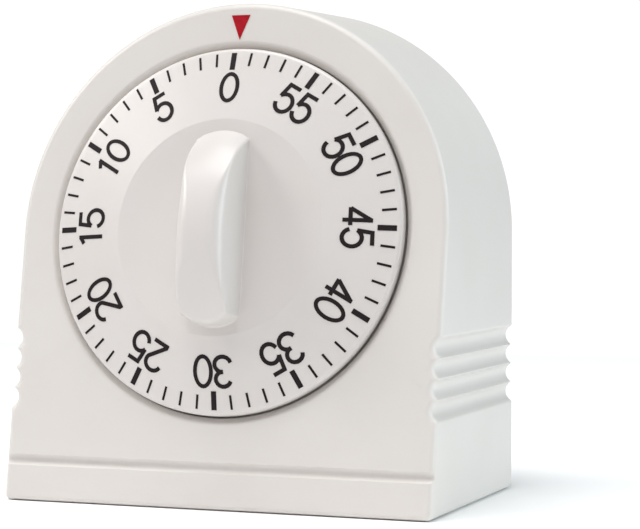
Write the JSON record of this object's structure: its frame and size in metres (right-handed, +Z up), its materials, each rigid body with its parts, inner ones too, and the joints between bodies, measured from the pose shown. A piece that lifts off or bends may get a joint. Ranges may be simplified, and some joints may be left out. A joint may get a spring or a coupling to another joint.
{
  "type": "kitchen timer",
  "caption": "Wind-up kitchen timer: arch-shaped case on a flat base, leaning front with a turning minute dial and grip bar, clockwork movement and bell inside.",
  "frame": {"origin": "centre of the flat base, where it rests on the worktop", "axes": "+Z up, the dial faces -Y, +X to the right when seen from the front"},
  "size_m": [0.0928, 0.0589, 0.1004],
  "materials": {
    "case": "satin moulded, fine texture",
    "side": "satin moulded",
    "dial": "smooth moulded",
    "print": "printed ink",
    "red_print": "printed ink",
    "brass_sheet": "stamped",
    "steel": "turned",
    "zinc_screw": "zinc plated",
    "spring_steel": "blued",
    "bell": "plated",
    "rubber": "moulded"
  },
  "bodies": {
    "case": {"housing": "case", "feet": "rubber", "rear_cover": "side", "rear_cover_screws": "zinc_screw", "pointer_mark": "red_print", "movement_screws": "zinc_screw", "front_plate": "brass_sheet", "back_plate": "brass_sheet", "pillars": "steel", "pillar_screws": "zinc_screw", "arbor_bushes": "brass_sheet", "spring_post": "steel", "mainspring": "spring_steel", "bell": "bell", "bell_post": "steel", "bell_nut": "zinc_screw", "release_pivot": "steel"},
    "dial": {"dial": "dial", "dial_markings": "print", "main_arbor": "steel", "cam_disc": "steel", "ratchet_wheel": "steel", "thrust_washer": "brass_sheet"},
    "great_wheel": {"great_wheel": "brass_sheet", "click_rivet": "steel"},
    "click": {"click": "steel"},
    "second_wheel": {"second_arbor": "steel", "second_wheel": "brass_sheet"},
    "third_wheel": {"third_arbor": "steel", "third_wheel": "brass_sheet"},
    "escape_wheel": {"escape_arbor": "steel", "escape_wheel": "brass_sheet"},
    "balance": {"balance_arbor": "steel", "pallet_lever": "steel", "balance_bar": "brass_sheet"},
    "ring_wheel": {"ring_arbor": "steel", "ring_wheel": "brass_sheet"},
    "hammer": {"hammer_arbor": "steel", "hammer_tail": "steel", "hammer_lever": "steel", "hammer_head": "brass_sheet"},
    "release_lever": {"release_lever": "steel"}
  },
  "joints": [
    {"name": "dial_turn", "type": "hinge", "parent": "case", "child": "dial", "pos_m": [0, -0.00293, 0.05158], "axis": [0, 0.9854, -0.1702], "range_deg": [0, 355], "deforming": ["mainspring"]},
    {"name": "great_wheel_turn", "type": "hinge", "parent": "case", "child": "great_wheel", "pos_m": [0, -0.00293, 0.05158], "axis": [0, 0.9854, -0.1702], "range_deg": [0, 356]},
    {"name": "click_lift", "type": "hinge", "parent": "great_wheel", "child": "click", "pos_m": [-0.01034, -0.00357, 0.04788], "axis": [0, 0.9854, -0.1702], "range_deg": [-8, 0], "stiffness_Nm_per_rad": 0.00002},
    {"name": "second_wheel_turn", "type": "hinge", "parent": "case", "child": "second_wheel", "pos_m": [-0.01061, -0.00035, 0.06652], "axis": [0, 0.9854, -0.1702], "continuous": true},
    {"name": "third_wheel_turn", "type": "hinge", "parent": "case", "child": "third_wheel", "pos_m": [-0.01979, -0.00258, 0.0536], "axis": [0, 0.9854, -0.1702], "continuous": true},
    {"name": "escape_wheel_turn", "type": "hinge", "parent": "case", "child": "escape_wheel", "pos_m": [-0.01449, -0.00506, 0.03925], "axis": [0, 0.9854, -0.1702], "continuous": true},
    {"name": "balance_swing", "type": "hinge", "parent": "case", "child": "balance", "pos_m": [-0.00626, -0.00587, 0.03457], "axis": [0, 0.9854, -0.1702], "range_deg": [-2, 2]},
    {"name": "ring_wheel_turn", "type": "hinge", "parent": "case", "child": "ring_wheel", "pos_m": [0.01738, -0.00185, 0.05782], "axis": [0, 0.9854, -0.1702], "continuous": true},
    {"name": "hammer_swing", "type": "hinge", "parent": "case", "child": "hammer", "pos_m": [0.02578, -0.0016, 0.0593], "axis": [0, -0.9854, 0.1702], "range_deg": [-2.8, 4], "stiffness_Nm_per_rad": 0.002},
    {"name": "release_lift", "type": "hinge", "parent": "case", "child": "release_lever", "pos_m": [0.0126, -0.00479, 0.04079], "axis": [0, 0.9854, -0.1702], "range_deg": [0, 6], "stiffness_Nm_per_rad": 0.0005}
  ],
  "couplings": [
    {"joint": "great_wheel_turn", "follows": "dial_turn", "ratio": 1},
    {"joint": "second_wheel_turn", "follows": "dial_turn", "ratio": -8.25},
    {"joint": "third_wheel_turn", "follows": "dial_turn", "ratio": 57.75},
    {"joint": "escape_wheel_turn", "follows": "dial_turn", "ratio": -389.81},
    {"joint": "ring_wheel_turn", "follows": "dial_turn", "ratio": -8.25}
  ]
}
